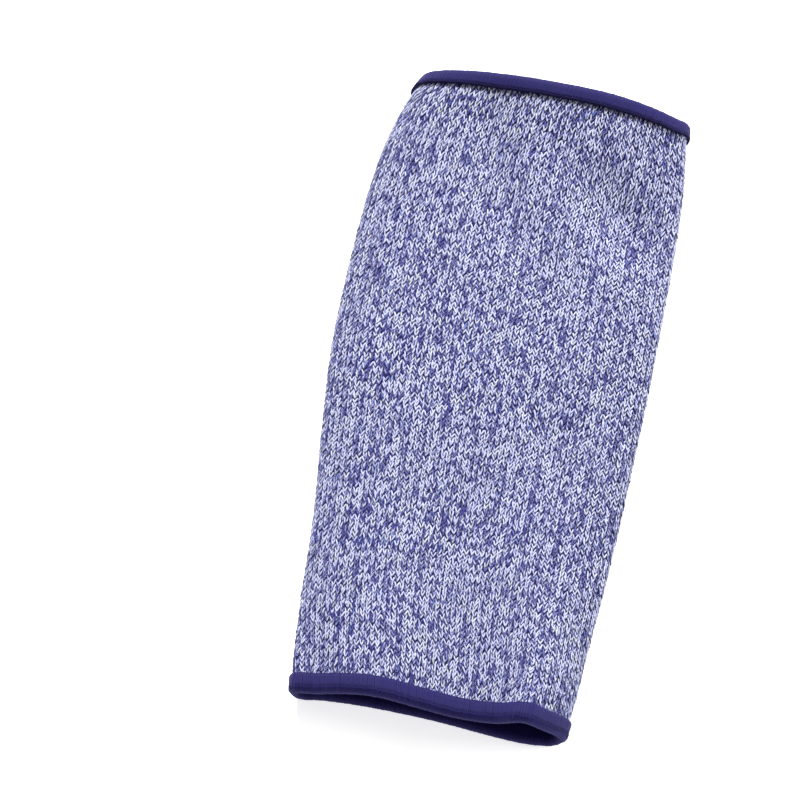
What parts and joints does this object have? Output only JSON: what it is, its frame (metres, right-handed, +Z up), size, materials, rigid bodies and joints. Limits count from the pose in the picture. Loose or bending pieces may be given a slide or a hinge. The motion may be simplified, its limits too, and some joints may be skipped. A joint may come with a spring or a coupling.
{
  "type": "cut resistant sleeve",
  "caption": "Short tapered knitted sleeve that guards a forearm against cuts, lying nearly flat, open at both ends, with thick overlocked edges.",
  "frame": {"origin": "on the surface that the sleeve lies on, under the middle of its bounding box", "axes": "+Y along the sleeve from the wrist opening to the upper arm opening, +Z up out of the flattened sleeve, +X across it to the right as seen from the wrist"},
  "size_m": [0.1198, 0.2624, 0.0261],
  "materials": {
    "marled_knit": "matte white and blue marled jersey knit",
    "edge_thread": "soft sheen of dense dark blue overlock thread"
  },
  "bodies": {
    "root": {"knit_tube": "marled_knit", "wrist_edge_band": "edge_thread", "upper_edge_band": "edge_thread"}
  },
  "joints": []
}
